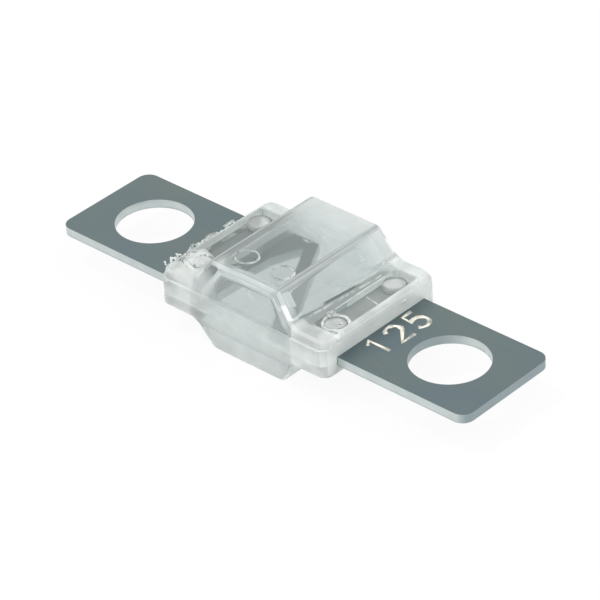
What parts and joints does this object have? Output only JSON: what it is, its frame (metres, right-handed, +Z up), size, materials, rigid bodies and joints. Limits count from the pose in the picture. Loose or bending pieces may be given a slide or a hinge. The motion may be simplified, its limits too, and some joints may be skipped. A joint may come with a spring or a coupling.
{
  "type": "bolt-down strip fuse",
  "caption": "Low-voltage bolt-down strip fuse: a flat metal strip with an open round hole in each tab and a slanted link inside a clear plastic housing riveted around its middle.",
  "frame": {"origin": "middle of the strip's thickness, half-way between the two bolt holes", "axes": "+X along the strip from one tab to the other, +Y across the strip, +Z up through the bolt holes towards the taller half of the housing with the pin heads"},
  "size_m": [0.041, 0.0126, 0.008],
  "materials": {
    "strip": "smooth satin plating, neutral grey",
    "clear_plastic_upper": "clear moulded plastic, glossy, slightly grey",
    "clear_plastic_lower": "clear moulded plastic, glossy, slightly grey"
  },
  "bodies": {
    "root": {"fuse_element": "strip", "upper_housing": "clear_plastic_upper", "lower_housing": "clear_plastic_lower"}
  },
  "joints": []
}
